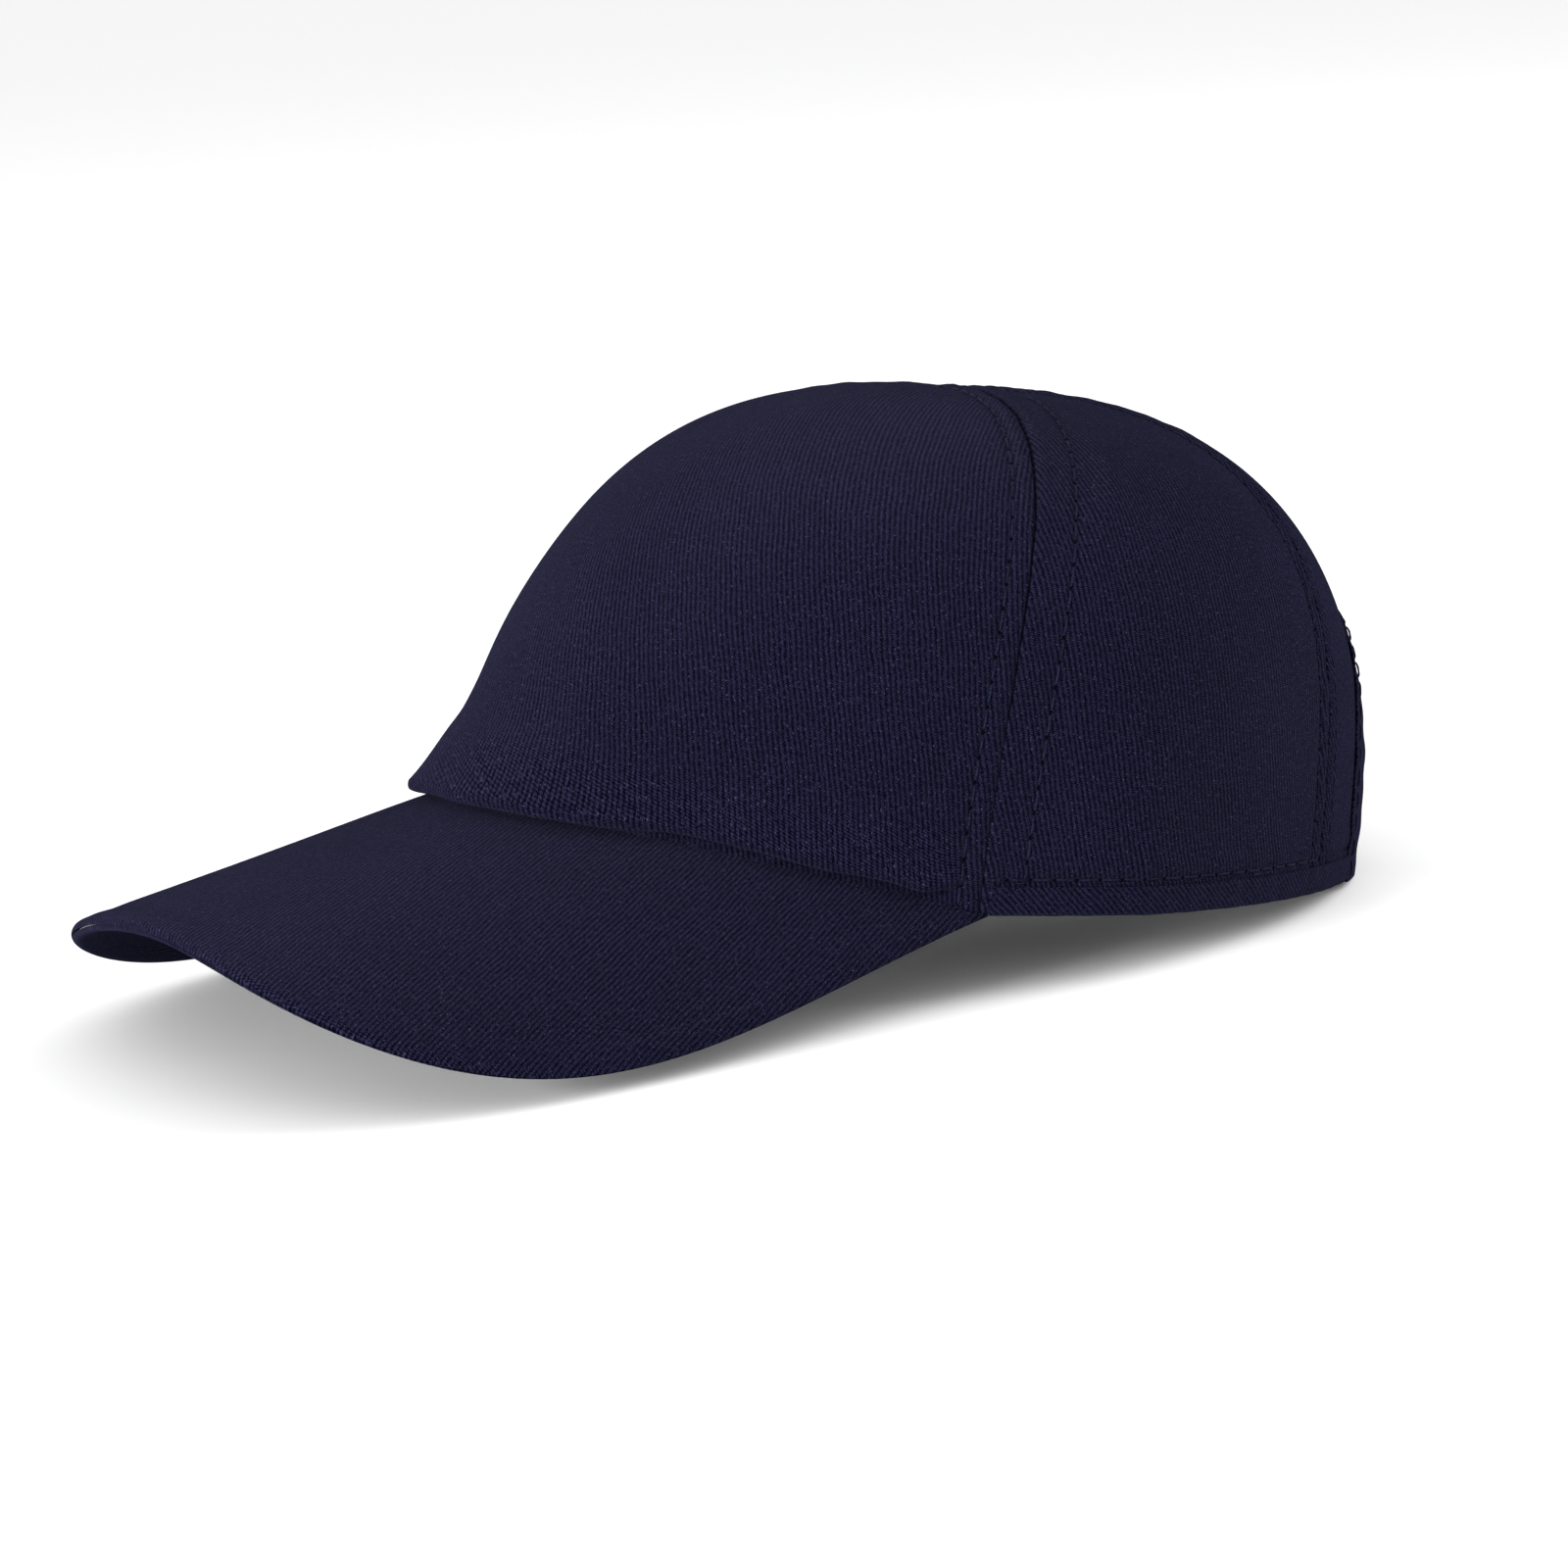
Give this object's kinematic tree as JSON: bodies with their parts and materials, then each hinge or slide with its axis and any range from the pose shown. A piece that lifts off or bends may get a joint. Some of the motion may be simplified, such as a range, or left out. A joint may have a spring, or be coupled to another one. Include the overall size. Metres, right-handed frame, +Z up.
{
  "type": "baseball cap",
  "caption": "Low-profile five-panel baseball cap in dark navy twill, curved fabric-covered brim, bound rear opening with hook-and-loop strap.",
  "frame": {"origin": "bottom centre of the bounding box, on the surface the cap lies on", "axes": "+Z up, the brim points towards -Y, the wearer's left side is +X"},
  "size_m": [0.1656, 0.2887, 0.1112],
  "materials": {
    "twill": "matt dark navy cotton twill with a coarse diagonal rib",
    "interlining": "dark woven interlining",
    "tape": "dark navy plain-weave cotton tape",
    "sweatband": "dark navy cotton twill",
    "board": "natural polyethylene board",
    "hook_tape": "dark navy nylon hook tape",
    "loop_tape": "dark navy brushed nylon loop tape",
    "label": "blank off-white woven ribbon"
  },
  "bodies": {
    "cap": {"front_panel": "twill", "front_interlining": "interlining", "side_panel_left": "twill", "side_panel_right": "twill", "back_panel_left": "twill", "back_panel_right": "twill", "seam_tape_front_left": "tape", "seam_tape_front_right": "tape", "seam_tape_side_left": "tape", "seam_tape_side_right": "tape", "seam_tape_back": "tape", "hem_binding_left": "twill", "hem_binding_right": "twill", "arch_binding": "twill", "sweatband": "sweatband", "brim_top_cover": "twill", "brim_board": "board", "brim_bottom_cover": "twill", "strap_anchor": "twill", "tab_anchor": "twill", "care_label": "label"},
    "strap": {"strap": "twill", "hook_pad": "hook_tape"},
    "tab": {"tab": "twill", "loop_pad": "loop_tape"}
  },
  "joints": [
    {"name": "strap_peel", "type": "hinge", "parent": "cap", "child": "strap", "pos_m": [-0.0506, 0.1226, 0.014], "axis": [0, 0, 1], "range_deg": [0, 115]},
    {"name": "tab_flex", "type": "hinge", "parent": "cap", "child": "tab", "pos_m": [0.04975, 0.11693, 0.01455], "axis": [0, 0, 1], "range_deg": [0, 45]}
  ]
}
